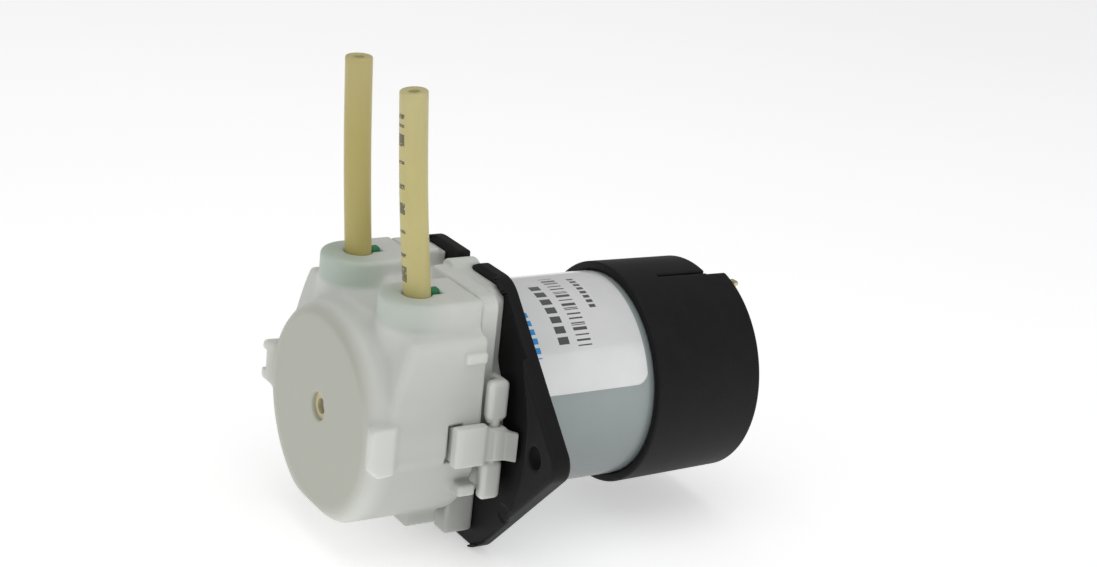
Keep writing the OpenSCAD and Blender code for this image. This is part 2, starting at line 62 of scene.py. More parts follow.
# ---------------------------------------------------------------- node maths
class N:
    """A node socket that takes part in plain arithmetic."""

    def __init__(self, tree, socket):
        self.tree, self.socket = tree, socket

    def op(self, kind, *others):
        node = self.tree.nodes.new("ShaderNodeMath")
        node.operation = kind
        for slot, value in zip(node.inputs, (self, *others)):
            if isinstance(value, N):
                self.tree.links.new(value.socket, slot)
            else:
                slot.default_value = value
        return N(self.tree, node.outputs[0])

    def __add__(self, o):
        return self.op("ADD", o)

    def __sub__(self, o):
        return self.op("SUBTRACT", o)

    def __mul__(self, o):
        return self.op("MULTIPLY", o)

    def below(self, limit):
        return self.op("LESS_THAN", limit)

    def above(self, limit):
        return self.op("GREATER_THAN", limit)

    def between(self, low, high):
        return self.above(low) * self.below(high)

    def either(self, o):
        return self.op("MAXIMUM", o)


class Mat:
    """One procedural material with its Principled shader."""

    def __init__(self, name, rough=0.5, **sockets):
        self.m = bpy.data.materials.new(name)
        self.m.use_nodes = True
        self.tree = self.m.node_tree
        self.bsdf = self.tree.nodes["Principled BSDF"]
        self.bsdf.inputs["Roughness"].default_value = rough
        for key, value in sockets.items():
            self.bsdf.inputs[key.replace("_", " ")].default_value = value
        coord = self.tree.nodes.new("ShaderNodeTexCoord")
        self.coord = coord.outputs["Object"]
        split = self.tree.nodes.new("ShaderNodeSeparateXYZ")
        self.tree.links.new(self.coord, split.inputs[0])
        # metres to millimetres
        self.x, self.y, self.z = (N(self.tree, s) * 1000.0 for s in split.outputs)

    def noise(self, per_mm, detail=3, stretch=(1, 1, 1), rough=0.55):
        """Noise with about per_mm bumps to the millimetre."""
        mapping = self.tree.nodes.new("ShaderNodeMapping")
        mapping.inputs["Scale"].default_value = [1000 * s for s in stretch]
        self.tree.links.new(self.coord, mapping.inputs[0])
        node = self.tree.nodes.new("ShaderNodeTexNoise")
        node.inputs["Scale"].default_value = per_mm
        node.inputs["Detail"].default_value = detail
        node.inputs["Roughness"].default_value = rough
        self.tree.links.new(mapping.outputs[0], node.inputs["Vector"])
        return N(self.tree, node.outputs["Fac"])

    def ramp(self, value, *stops):
        """Colour ramp: stops are (position, (r, g, b))."""
        node = self.tree.nodes.new("ShaderNodeValToRGB")
        ends = node.color_ramp.elements
        while len(ends) < len(stops):
            ends.new(0.5)
        for end, (place, colour) in zip(ends, stops):
            end.position = place
            end.color = (*colour, 1)
        self.tree.links.new(value.socket, node.inputs[0])
        return N(self.tree, node.outputs[0])

    def mix(self, factor, a, b):
        """a where factor is 0, b where it is 1; each a colour or a socket."""
        node = self.tree.nodes.new("ShaderNodeMix")
        node.data_type = "RGBA"
        self.tree.links.new(factor.socket, node.inputs[0])
        for slot, value in ((node.inputs[6], a), (node.inputs[7], b)):
            if isinstance(value, N):
                self.tree.links.new(value.socket, slot)
            else:
                slot.default_value = (*value, 1)
        return N(self.tree, node.outputs[2])

    def scale_to(self, value, low, high):
        node = self.tree.nodes.new("ShaderNodeMapRange")
        node.inputs["To Min"].default_value = low
        node.inputs["To Max"].default_value = high
        self.tree.links.new(value.socket, node.inputs[0])
        return N(self.tree, node.outputs[0])

    def fade(self, value, start, end):
        """0 up to start, 1 from end on, straight between them."""
        out = self.scale_to(value, 0, 1)
        out.socket.node.inputs["From Min"].default_value = start
        out.socket.node.inputs["From Max"].default_value = end
        return out

    def edge_wear(self):
        """Bright on convex edges, dark in hollows."""
        geo = self.tree.nodes.new("ShaderNodeNewGeometry")
        return N(self.tree, geo.outputs["Pointiness"])

    def colour(self, value):
        self.tree.links.new(value.socket, self.bsdf.inputs["Base Color"])

    def rough(self, value, low, high):
        self.tree.links.new(
            self.scale_to(value, low, high).socket, self.bsdf.inputs["Roughness"]
        )

    def bump(self, value, height_mm):
        node = self.tree.nodes.new("ShaderNodeBump")
        node.inputs["Distance"].default_value = height_mm * MM
        self.tree.links.new(value.socket, node.inputs["Height"])
        self.tree.links.new(node.outputs[0], self.bsdf.inputs["Normal"])


def tint(colour, k):
    return tuple(min(1.0, c * k) for c in colour)


def grained(name, base, dark=0.85, light=1.08, per_mm=0.3, grain=4, height=0.01,
            rough=(0.4, 0.6), stretch=(1, 1, 1), **sockets):
    """Plain material with soft colour clouds, varied gloss and a fine grain."""
    m = Mat(name, **sockets)
    cloud = m.noise(per_mm, 4, stretch)
    m.colour(m.ramp(cloud, (0.3, tint(base, dark)), (0.7, tint(base, light))))
    fine = m.noise(grain, 2, stretch)
    m.rough(fine * 0.5 + cloud * 0.5, *rough)
    m.bump(fine, height)
    return m.m


def milky_plastic():
    m = Mat("milky plastic", Subsurface_Weight=0.35, Subsurface_Radius=(1.0, 0.95, 0.8),
            Subsurface_Scale=1.6 * MM, Specular_IOR_Level=0.42)
    base = (0.69, 0.705, 0.665)
    cloud = m.noise(0.12, 3)
    body = m.ramp(cloud, (0.3, tint(base, 0.965)), (0.72, tint(base, 1.03)))
    # the front face's wall is thin over the rotor's hollow; painted shade makes it darker, warmer
    # and greyer
    reach = (m.x * m.x + m.z * m.z).op("SQRT")
    face = m.fade(m.y, -22.6, -24.1) * m.fade(reach, 17.4, 14.5)
    body = m.mix(face * 0.9, body, (base[0] * 0.69, base[1] * 0.685, base[2] * 0.62))
    # the lower flank is in the shade of the body
    body = m.mix(m.fade(m.z, 16, -13) * m.fade(m.y, -24, -20), body, tint(base, 0.72))
    # painted shade of the hollow round the tubes: the collars a little darker and greener, the left
    # more
    collars = m.fade(m.z, 15.4, 16.4) * m.fade(m.y, -12, -17)
    body = m.mix(collars * (m.x.below(0) * 0.25 + 0.65), body,
                 (base[0] * 0.72, base[1] * 0.82, base[2] * 0.76))
    # thin lugs let more light through
    lugs = m.fade(m.x.op("ABSOLUTE"), 17.5, 18.1)
    body = m.mix(lugs * 0.5, body, tint(base, 1.16))
    # the latches' thin tails show the black plate through them
    tails = m.fade(m.x.op("ABSOLUTE"), 19.0, 19.9) * m.fade(m.y, -6, -4.5)
    m.colour(m.mix(tails * 0.9, body, tint(base, 0.6)))
    fine = m.noise(1.6, 2)
    m.rough(fine * 0.35 + cloud * 0.65, 0.4, 0.5)
    m.bump(m.noise(0.3, 2), 0.012)
    return m.m


MATS = {}


def build_materials():
    MATS["white_plastic"] = milky_plastic()
    MATS["black_plate"] = black_plastic("plate black", 0.007, 3.0)
    MATS["black_sleeve"] = black_plastic("sleeve black", 0.008, 5.0)
    MATS["black_cap"] = black_plastic("cap black", 0.012, 4.0)
    MATS["tube"] = tube_material()
    MATS["can"] = can_material()
    MATS["label"] = label_material()
    MATS["green_clip"] = grained("green clip", (0.01, 0.2, 0.075), rough=(0.3, 0.45))
    MATS["cage"] = grained("natural resin", (0.62, 0.55, 0.34), rough=(0.35, 0.5),
                           Subsurface_Weight=0.1, Subsurface_Scale=MM)
    MATS["roller"] = grained("white resin", (0.7, 0.7, 0.66), rough=(0.3, 0.45))
    MATS["steel"] = grained("ground steel", (0.55, 0.56, 0.57), grain=9,
                            stretch=(1, 0.12, 1), rough=(0.22, 0.4), Metallic=1.0)
    MATS["brass"] = grained("brass", (0.66, 0.47, 0.2), grain=7, height=0.006,
                            rough=(0.25, 0.42), Metallic=1.0)
    MATS["terminal"] = grained("tinned brass", (0.74, 0.64, 0.4), per_mm=0.8, grain=6,
                               rough=(0.28, 0.5), Metallic=1.0)
    MATS["copper"] = copper_material()
    MATS["lamination"] = lamination_material()
    MATS["magnet"] = grained("ferrite", (0.06, 0.06, 0.065), grain=6, rough=(0.6, 0.8))
    MATS["carbon"] = grained("carbon", (0.035, 0.035, 0.04), grain=8, rough=(0.45, 0.7))


def black_plastic(name, level, grain):
    m = Mat(name, Specular_IOR_Level=0.15)
    base = (level, level, level * 1.04)
    cloud = m.noise(0.25, 4)
    dust = m.noise(1.3, 5, rough=0.7)
    body = m.ramp(cloud, (0.3, tint(base, 0.8)), (0.75, tint(base, 1.25)))
    # a thin film of dust, and edges rubbed a little paler
    worn = m.ramp(m.edge_wear(), (0.53, (0, 0, 0)), (0.62, (1, 1, 1)))
    m.colour(m.mix(worn * 0.4, m.mix(m.scale_to(dust, 0, 0.05), body, (0.1, 0.1, 0.1)),
                   tint(base, 4)))
    fine = m.noise(grain, 3)
    m.rough(fine * 0.6 + cloud * 0.4, 0.42, 0.66)
    m.bump(fine, 0.018)
    return m.m


def angle_about_shaft(m):
    """Degrees from +Z towards +X."""
    return m.x.op("ARCTAN2", m.z) * (180 / math.pi)


def tube_material():
    m = Mat("pump tube", Subsurface_Weight=0.3, Subsurface_Radius=(1.0, 0.8, 0.4),
            Subsurface_Scale=1.2 * MM, Specular_IOR_Level=0.35)
    base = (0.6, 0.535, 0.235)
    cloud = m.noise(0.2, 4, (1, 1, 0.35))
    body = m.ramp(cloud, (0.3, tint(base, 0.92)), (0.72, tint(base, 1.07)))
    # the left leg is coloured darker and browner, and the wall is paler near the cut ends
    body = m.mix(m.x.below(0) * 0.7, body, (0.5, 0.42, 0.135))
    body = m.mix(m.fade(m.z, 38, 50) * 0.3, body, (0.62, 0.57, 0.36))
    # plain printed ticks down the front of the right-hand leg
    front = m.y + (m.z - LEG_PIVOT) * math.tan(LEAN[1]) - LEG_Y
    side = (m.x - LEG_X).between(-0.62, 0.72) * front.below(-1.2)
    wave = ((m.z * 0.62).op("SINE") + (m.z * 1.93 + 1.1).op("SINE") * 0.8
            + (m.z * 3.7).op("SINE") * 0.5)
    ticks = wave.above(0.42) * side * m.z.between(21, 46.5)
    worn = m.noise(3.0, 3).above(0.4)
    m.colour(m.mix(ticks * worn * 0.8, body, (0.05, 0.045, 0.035)))
    fine = m.noise(2.5, 3, (1, 1, 0.5))
    m.rough(fine, 0.3, 0.46)
    m.bump(fine * 0.3 + m.noise(0.5, 2, (1, 1, 0.4)) * 0.7, 0.03)
    return m.m


def can_material():
    m = Mat("motor can paint", Coat_Weight=0.25, Coat_Roughness=0.12)
    base = (0.36, 0.41, 0.41)
    cloud = m.noise(0.1, 4)
    speck = m.noise(2.6, 4, rough=0.7)
    body = m.ramp(cloud, (0.3, tint(base, 0.94)), (0.7, tint(base, 1.05)))
    body = m.mix(m.scale_to(speck, 0, 0.22), body, tint(base, 0.8))
    # the can's underside is in shade
    m.colour(m.mix(m.fade(m.z, 3, -15), body, tint(base, 0.4)))
    m.rough(speck * 0.5 + cloud * 0.5, 0.26, 0.4)
    m.bump(m.noise(1.1, 4), 0.03)
    return m.m


def label_material():
    m = Mat("label film", Coat_Weight=0.6, Coat_Roughness=0.06, Metallic=0.12)
    turn = angle_about_shaft(m)
    film = m.ramp(m.noise(0.09, 3), (0.35, (0.8, 0.81, 0.81)), (0.7, (0.88, 0.885, 0.88)))
    ink = (0.035, 0.035, 0.04)
    wobble = m.noise(2.0, 2) * 0.12
    # uneven bars across a band, a plain block line on each side of it
    bars = ((turn * 1.9).op("SINE") + (turn * 4.3 + 0.7).op("SINE") * 0.7
            + (turn * 0.83).op("SINE") * 0.4).above(0.3)
    band = (m.y + wobble).between(11.7, 14.1) * turn.between(-4.5, 52.5)
    wide = (m.y + wobble).between(8.5, 10.3) * turn.between(5, 49)
    gaps = (turn * 0.98).op("SINE").above(-0.5)
    small = (m.y + wobble).between(16.2, 17.3) * turn.between(0, 28)
    small_gaps = (turn * 1.7).op("SINE").above(-0.35)
    marks = (bars * band).either(wide * gaps).either(small * small_gaps)
    body = m.mix(marks * 0.93, film, ink)
    blue = (m.y + wobble).between(3.3, 5.1) * turn.between(27, 55) * (
        (turn * 1.15).op("SINE").above(-0.4))
    body = m.mix(blue, body, (0.02, 0.3, 0.72))
    m.colour(body)
    m.rough(m.noise(1.5, 3), 0.16, 0.3)
    m.bump(m.noise(0.35, 3), 0.025)
    return m.m


def copper_material():
    m = Mat("enamelled copper", Metallic=0.9)
    wires = (m.y * 9.0).op("SINE") + (m.x * 9.0).op("SINE") * 0.6 + (m.z * 9.0).op("SINE") * 0.6
    m.colour(m.ramp(m.scale_to(wires, 0, 1), (0.2, (0.2, 0.055, 0.015)),
                    (0.8, (0.5, 0.16, 0.05))))
    m.rough(m.noise(2, 3), 0.25, 0.45)
    m.bump(wires, 0.08)
    return m.m


def lamination_material():
    m = Mat("steel laminations", Metallic=1.0)
    sheets = (m.y * 12.6).op("SINE")
    m.colour(m.mix(m.scale_to(sheets, 0, 1), (0.14, 0.14, 0.15), (0.3, 0.31, 0.33)))
    m.rough(m.noise(2, 3), 0.4, 0.6)
    m.bump(sheets, 0.05)
    return m.m


# ---------------------------------------------------------------- solids as distance fields
# Every field takes x, y, z in millimetres and is negative inside.
def smax(a, b, k):
    h = np.maximum(k - np.abs(a - b), 0) / k
    return np.maximum(a, b) + h * h * k / 4


def smin(a, b, k):
    return -smax(-a, -b, k)


def rounded(pairs, r):
    """Rounded intersection of distances to flat or curved sides."""
    grown = [p + r for p in pairs]
    out = np.sqrt(sum(np.maximum(p, 0) ** 2 for p in grown))
    return out + np.minimum(functools.reduce(np.maximum, grown), 0) - r


def span(v, low, high):
    return np.abs(v - (low + high) / 2) - (high - low) / 2


def box(p, low, high, r):
    return rounded([span(v, a, b) for v, a, b in zip(p, low, high)], r)


def drum(p, radius, y0, y1, r):
    """Cylinder about the shaft with rounded rims."""
    x, y, z = p
    return rounded([np.hypot(x, z) - radius, span(y, y0, y1)], r)


def convex(u, v, points, k):
    """Convex outline with its corners softened over about k; points go anticlockwise."""
    d = None
    for (u0, v0), (u1, v1) in zip(points, points[1:] + points[:1]):
        length = math.hypot(u1 - u0, v1 - v0)
        side = ((u - u0) * (v1 - v0) - (v - v0) * (u1 - u0)) / length
        d = side if d is None else smax(d, side, k)
    return d


def polygon_field(u, v, points):
    """Signed distance to any outline."""
    d = np.full(np.broadcast(u, v).shape, 1e9)
    sign = np.ones(d.shape)
    for (u0, v0), (u1, v1) in zip(points, points[-1:] + points[:-1]):
        eu, ev = u1 - u0, v1 - v0
        wu, wv = u - u0, v - v0
        t = np.clip((wu * eu + wv * ev) / (eu * eu + ev * ev), 0, 1)
        d = np.minimum(d, (wu - eu * t) ** 2 + (wv - ev * t) ** 2)
        a, b, c = v >= v0, v < v1, eu * wv > ev * wu
        flip = (a & b & c) | (~a & ~b & ~c)
        sign = np.where(flip, -sign, sign)
    return sign * np.sqrt(d)


def cut(body, tool, k):
    return smax(body, -tool, k)


def net(field, low, high, step, warp=None):
    """Surface net of a field: quads through the cells where it changes sign."""
    if not warp:
        # keep the nodes off round numbers, where the flat faces lie
        low = [a - 0.3183 * s for a, s in zip(low, step)]
    axes = [np.arange(a, b + s, s) for a, b, s in zip(low, high, step)]
    if warp:
        axes[0] = low[0] + (high[0] - low[0]) * np.arange(len(axes[0])) / len(axes[0])
        step = (axes[0][1] - axes[0][0], *step[1:])
    place = warp or (lambda a, b, c: (a, b, c))
    grid = field(place(*np.meshgrid(*axes, indexing="ij", sparse=not warp)))
    grid = np.broadcast_to(grid, [len(a) for a in axes]).astype(np.float32)
    inside = grid < 0
    corners = [(i, j, k) for i in (0, 1) for j in (0, 1) for k in (0, 1)]
    count = sum(np.roll(inside, (-i, -j, -k), (0, 1, 2)).astype(np.int8) for i, j, k in corners)
    cells = np.argwhere((count > 0) & (count < 8))
    shape = np.array(grid.shape)
    values = {}
    for c in corners:
        at = (cells + c) % shape
        values[c] = grid[at[:, 0], at[:, 1], at[:, 2]]
    # one point in each crossed cell, at the mean of the crossings on its edges
    total, hits = np.zeros((len(cells), 3)), np.zeros(len(cells))
    for a in corners:
        for axis in range(3):
            if a[axis]:
                continue
            b = tuple(1 if n == axis else a[n] for n in range(3))
            va, vb = values[a], values[b]
            crossed = (va < 0) != (vb < 0)
            t = np.where(crossed, va / np.where(va == vb, 1, va - vb), 0)
            point = np.array(a, float) + np.eye(3)[axis] * t[:, None]
            total += point * crossed[:, None]
            hits += crossed
    index = cells + total / hits[:, None]
    verts = np.stack(place(*(low[n] + index[:, n] * step[n] for n in range(3))), 1)
    # pull each point onto the surface
    for _ in range(2):
        e = 0.02
        v = field(tuple(verts.T))
        slope = np.stack([
            (field(tuple((verts + shift).T)) - field(tuple((verts - shift).T))) / (2 * e)
            for shift in e * np.eye(3)], 1)
        move = -v[:, None] * slope / np.maximum((slope ** 2).sum(1), 0.2)[:, None]
        reach = np.linalg.norm(move, axis=1, keepdims=True)
        verts = verts + move * np.minimum(1, 0.4 * step[2] / np.maximum(reach, 1e-9))
    # one quad round each crossed grid edge, joining the four cells that share it
    ids = np.full(grid.shape, -1, np.int64)
    ids[cells[:, 0], cells[:, 1], cells[:, 2]] = np.arange(len(cells))
    faces = []
    for axis in range(3):
        b, c = (axis + 1) % 3, (axis + 2) % 3
        here, there = inside, np.roll(inside, -1, axis)
        ring = [np.roll(np.roll(ids, db, b), dc, c)
                for db, dc in ((1, 1), (0, 1), (0, 0), (1, 0))]
        for mask, order in ((here & ~there, (0, 1, 2, 3)), (~here & there, (3, 2, 1, 0))):
            faces.append(np.stack([ring[o][mask] for o in order], 1))
    return verts, np.concatenate(faces)


def make(name, verts, faces, material, replaces, body="root"):
    mesh = bpy.data.meshes.new(name)
    mesh.from_pydata((np.asarray(verts) * MM).tolist(), [], [list(map(int, f)) for f in faces])
    mesh.validate()
    mesh.update()
    mesh.polygons.foreach_set("use_smooth", [True] * len(mesh.polygons))
    obj = bpy.data.objects.new(name, mesh)
    bpy.context.scene.collection.objects.link(obj)
    obj.data.materials.append(MATS[material])
    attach(obj, body)
    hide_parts(*replaces)


def solid(name, field, low, high, step, material, **more):
    verts, faces = net(field, low, high, (step,) * 3)
    make(name, verts, faces, material, **more)


# ---------------------------------------------------------------- sizes, in millimetres
SIDES = ((1, "right"), (-1, "left"))
HEAD_FRONT, HEAD_R, HEAD_BOTTOM, COVER_REAR = -24.3, 17.3, -15.7, -7.0
SHOULDER_Z, ROOF_Z = 15.4, 13.7
COLLAR_R, COLLAR_TOP = 5.5, 20.0
RACE_R, NOSE_R, BASE_R = 14.6, 2.1, 15.5
# the tube: its loop's plane, and the legs' place, lean and length
TUBE_R, BORE_R, LOOP_Y = 2.0, 0.8, -14.8
LEG_X, LEG_Y, LEG_PIVOT = 9.5, -14.5, 17.0
LEG_START, LEG_L = 13, 36.7
LEAN = {1: math.radians(6.2), -1: math.radians(4.4)}
# the pin that each latch swings on
PIN_X, PIN_Y, PIN_R = 17.6, -4.9, 0.8
# the plate, from its front face at PLATE_FRONT to its rear face at 0
PLATE_FRONT, RECESS_Y, RECESS_R = -3.0, -2.0, 23.4
PLATE_HALF_W, PLATE_HALF_H, PLATE_FLAT, PLATE_CORNER = 31.2, 21.5, 10, 3
NOTCH_LEFT, NOTCH_RIGHT, NOTCH_FLOOR = -1.7, 2.3, 18.3
HOLE_X, HOLE_R = 26, 1.7
SCREW_X, SCREW_R, BOSS_HOLE_R = 10, 1.4, 5.1
# the motor's can and the sleeve round its rear
CAN_R, CAN_IN, CAN_REAR = 16.0, 15.0, 38.4
SLEEVE_R, SLEEVE_Y, SLEEVE_REAR = 17.45, 23.8, 43.2


def leg_frame(p, side):
    """Coordinates across, behind and along a leaning tube leg."""
    x, y, z = p
    c, s = math.cos(LEAN[side]), math.sin(LEAN[side])
    dy, dz = y - LEG_Y, z - LEG_PIVOT
    return x - side * LEG_X, dy * c + dz * s, LEG_PIVOT - dy * s + dz * c


def collar(p, side):
    """Upright collar at a tube leg: round in front, straight-sided behind."""
    x, y, z = p
    dx, dy = x - side * LEG_X, y - LOOP_Y
    outline = np.where(dy < 0, np.hypot(dx, dy), np.abs(dx)) - COLLAR_R
    return rounded([outline, span(z, 11, COLLAR_TOP)], 0.75)


def ear(q):
    """Chamfered lug on the head's flank."""
    x, y, z = q
    plan = convex(x, y, [(16, -24.3), (17.5, -25.1), (18.5, -25.1), (18.7, -24.8),
                         (18.3, -21.1), (17.5, -20.3), (16, -20.3)], 0.3)
    flank = convex(y, z, [(-25.1, -2.2), (-23.5, -3.65), (-19, -3.65), (-19, 3.65),
                          (-24.6, 3.65), (-25.1, 3.1)], 0.3)
    return smax(plan, flank, 0.4)


def head_cover(p):
    x, y, z = p
    ax = np.abs(x)
    q = (ax, y, z)
    # the disc's upper half is flatter and rounder, ahead of the sloping shoulder
    up = np.clip(z / 9, 0, 1)
    flat = np.where(z > 0, z * HEAD_R / (HEAD_R - 2.0), z)
    disc = drum((x, y, flat), HEAD_R, HEAD_FRONT, -2, 1.9 + 0.9 * up)
    disc = smax(disc, HEAD_BOTTOM - z, 0.9)
    disc = smax(disc, z - 15.3, 0.8)
    slope = convex(y, z, [(-2, -3), (-2, SHOULDER_Z), (-18.8, SHOULDER_Z), (-19.7, 13.4),
                          (-21.28, 7.6), (-22.3, 3.2), (-22.3, -3)], 0.6)
    block = rounded([slope, ax - HEAD_R], 1.2)
    body = smin(disc, block, 1.2)
    # a raised pad on the roof, between the two collars
    body = smin(body, box(p, (-4.6, -13.2, 12), (4.6, -2, 17.4), 1.3), 1.6)
    for side in (-1, 1):
        body = smin(body, collar(p, side), 1.4)
        rib = box((side * x, y, z), (4.6, -13.4, -16.9), (9.4, -8.2, -13), 0.5)
        body = smin(body, rib, 0.5)
    # short bars on the flanks, above and below the latches
    body = smin(body, box(q, (15.5, -10.6, 11.7), (18.1, -7.1, 13.3), 0.45), 0.35)
    body = smin(body, box(q, (14.5, -9.9, -8.8), (17.9, -7.1, -7.0), 0.45), 0.35)
    # only the left ear is notched
    notched = cut(ear(q), box(q, (17.35, -28, -0.9), (23, -23.8, 2.3), 0.2), 0.25)
    body = smin(body, np.where(x < 0, notched, ear(q)), 0.5)
    body = smax(body, y - COVER_REAR, 0.35)
    # hollow: the race and the room for the tube legs
    race = rounded([np.hypot(x, z) - RACE_R, span(y, -18.7, -5), z - ROOF_Z], 0.4)
    race = np.minimum(race, drum(p, RACE_R - 2, -22.3, -17, 0.4))
    room = np.minimum(box(q, (4, -17.9, 3), (15.6, -9, ROOF_Z), 0.4),
                      box(q, (4, -17.9, 3), (12.4, -5, ROOF_Z), 0.4))
    body = cut(body, np.minimum(race, room), 0.25)
    # a hole for each leg, with a slot for the clip behind it
    for side in (-1, 1):
        a, b, c = leg_frame(p, side)
        hole = np.maximum(np.hypot(a, b) - TUBE_R - 0.06, 12.5 - c)
        slot = rounded([np.abs(a) - 0.9, span(b, 1.4, 3.7), 12.5 - c], 0.4)
        body = cut(body, np.minimum(hole, slot), 0.35)
    # the latches' noses catch in these pockets
    body = cut(body, box(q, (16.1, -12.3, -3.4), (20, -10, 2.6), 0.2), 0.2)
    return cut(body, drum(p, NOSE_R, -30, -20, 0.1), 0.15)


def base_outline(x, z, half):
    """Round below, square above with small corner radii."""
    square = rounded([np.abs(x) - half, span(z, 0, 20.2)], 2.0)
    lower = smax(np.hypot(x, z) - BASE_R, -15.3 - z, 0.6)
    return smin(square, lower, 0.6)


def head_base(p):
    x, y, z = p
    ax = np.abs(x)
    q = (ax, y, z)
    # wide behind the cover, narrower at the plate
    outline = base_outline(x, z, 12.3)
    body = rounded([outline, span(y, COVER_REAR, PLATE_FRONT)], 0.3)
    body = smin(body, rounded([base_outline(x, z, 14.9), span(y, COVER_REAR, -4.3)], 0.3), 0.5)
    # the step that sits in the plate's recess
    step = np.maximum(outline, np.hypot(x, z) - (RECESS_R - 0.2))
    body = np.minimum(body, rounded([step, span(y, -3.4, RECESS_Y)], 0.15))
    # valley beside the tongue, and a raised strip behind the left collar
    body = cut(body, box(p, (-5.5, -9, 18.1), (-0.3, 2, 23), 0.4), 0.4)
    body = smin(body, box(p, (-10.2, COVER_REAR, 18), (-5.5, PLATE_FRONT, 20.7), 0.4), 0.5)
    # a foot below on each side
    body = smin(body, box(q, (6.1, -6.8, -19), (9.7, RECESS_Y, -12), 0.6), 0.4)
    # the tongue in the plate's notch, with a round bump in front of it
    round_top = np.hypot(x - 0.7, z - 18.9) - 2.4
    tongue = rounded([round_top, span(x, -1.6, 2.2), span(y, -5, -0.4), 18.4 - z], 0.35)
    bump = rounded([round_top, span(y, -4.6, RECESS_Y)], 0.45)
    body = smin(body, np.minimum(tongue, bump), 0.5)
    # bars above and below each latch, with a neck and the latch's pin between them
    for low, high in ((2.75, 8.8), (-9.6, -3.55)):
        bar = box(q, (16.5, -6.5, low), (18.5, -3.2, high), 0.8)
        arm = box(q, (11.9, -4.4, low + 0.2), (17.6, -3.2, high - 0.2), 0.4)
        body = smin(body, np.minimum(bar, arm), 0.35)
    neck = box(q, (16.7, -6.2, 2.3), (18.0, -3.6, 5.5), 0.4)
    body = smin(body, neck, 0.3)
    pin = np.maximum(np.hypot(ax - PIN_X, y - PIN_Y) - PIN_R, span(z, -4.1, 3.3))
    body = np.minimum(body, pin)
    body = cut(body, drum(p, 13.0, -9, -4.4, 0.3), 0.2)
    body = cut(body, np.hypot(x, z) - BOSS_HOLE_R, 0.2)
    return cut(body, np.hypot(ax - SCREW_X, z) - SCREW_R, 0.15)


def latch_field(p):
    """The right-hand latch: hook, nose, arm and thumb tail."""
    x, y, z = p
    hook_plan = convex(x, y, [(17.75, -11.8), (19.35, -11.8), (19.55, -11.2), (19.55, -7.2),
                              (19.2, -6.7), (17.75, -6.7)], 0.2)
    hook = rounded([hook_plan, span(z, -3.4, 2.6)], 0.3)
    nose_plan = convex(x, y, [(16.7, -11.7), (18, -11.7), (18, -10.3), (17.2, -10.3)], 0.2)
    nose = rounded([nose_plan, span(z, -3.0, 2.2)], 0.15)
    arm_plan = convex(x, y, [(17.5, -7.6), (19.2, -7.6), (19.2, -3.6), (16.5, -3.6),
                             (16.5, -5.7)], 0.25)
    arm = rounded([arm_plan, span(z, -3.0, 1.9)], 0.25)
    tail_plan = polygon_field(x, y, [(18.2, -5.4), (19.2, -5.2), (19.6, -4.0), (20.9, -2.65),
                                     (20.3, -2.35), (18.7, -3.4)])
    tail = rounded([tail_plan, span(z, -3.0, 1.5)], 0.25)
    body = smin(smin(hook, nose, 0.2), smin(arm, tail, 0.5), 0.25)
    return cut(body, np.hypot(x - PIN_X, y - PIN_Y) - PIN_R - 0.05, 0.05)


def plate_field(p):
    x, y, z = p
    ax, az = np.abs(x), np.abs(z)
    slope = math.atan2(PLATE_HALF_W - PLATE_FLAT, PLATE_HALF_H)
    nx, nz = math.cos(slope), math.sin(slope)
    tip = PLATE_HALF_W + PLATE_CORNER * (1 / nx - 1)
    edge = (ax - tip) * nx + az * nz
    # the slopes blend into the flats, and meet in a round corner at each side
    outline = smax(edge, az - PLATE_HALF_H, 1.6)
    corner_x = ax - (PLATE_HALF_W - PLATE_CORNER)
    outline = np.where(corner_x * nz > az * nx, np.hypot(corner_x, az) - PLATE_CORNER, outline)
    body = rounded([outline, span(y, PLATE_FRONT, 0)], 0.38)
    body = cut(body, drum(p, RECESS_R, -9, RECESS_Y, 0.15), 0.25)
    body = cut(body, np.hypot(ax - HOLE_X, z) - HOLE_R, 0.35)
    body = cut(body, np.hypot(ax - SCREW_X, z) - SCREW_R, 0.1)
    body = cut(body, np.hypot(x, z) - BOSS_HOLE_R, 0.1)
    # shallow round marks in the recess's floor, low on both sides
    mark = rounded([np.hypot(ax - 17.9, z + 12.4) - 1.3, y + 1.85], 0.05)
    body = cut(body, mark, 0.1)
    # notch in the top edge, with one corner cut off
    notch = polygon_field(x, z, [
        (NOTCH_LEFT, NOTCH_FLOOR), (NOTCH_RIGHT, NOTCH_FLOOR),
        (NOTCH_RIGHT, PLATE_HALF_H - 0.8), (NOTCH_RIGHT + 2, PLATE_HALF_H + 0.2),
        (NOTCH_RIGHT + 2, 24), (NOTCH_LEFT, 24)])
    return cut(body, notch, 0.2)


def sleeve_field(p):
    x, y, z = p
    r = np.hypot(x, z)
    turn = np.degrees(np.arctan2(x, z))
    # the wall narrows by 0.4 towards the rear, and ends in a lip turned inwards
    outer = SLEEVE_R - 0.4 * (y - SLEEVE_Y) / (SLEEVE_REAR - SLEEVE_Y)
    wall = rounded([r - outer, CAN_R + 0.03 - r, span(y, SLEEVE_Y, SLEEVE_REAR)], 0.4)
    lip = rounded([r - 16.8, 15.2 - r, span(y, 42.0, SLEEVE_REAR)], 0.3)
    body = smin(wall, lip, 0.3)
    # window in the rear rim, and two narrow slits
    window = np.maximum(span(turn, -36.0, 15.0) * r * math.pi / 180, 39.6 - y)
    body = cut(body, window, 0.3)
    for middle in (13.5, -36.0):
        slit = np.abs(turn - middle) * r * math.pi / 180 - 0.24
        body = cut(body, np.maximum(slit, span(y, 30.4, 41)), 0.2)
    return body


def around(turn, y, r):
    return r * np.sin(turn), y, r * np.cos(turn)


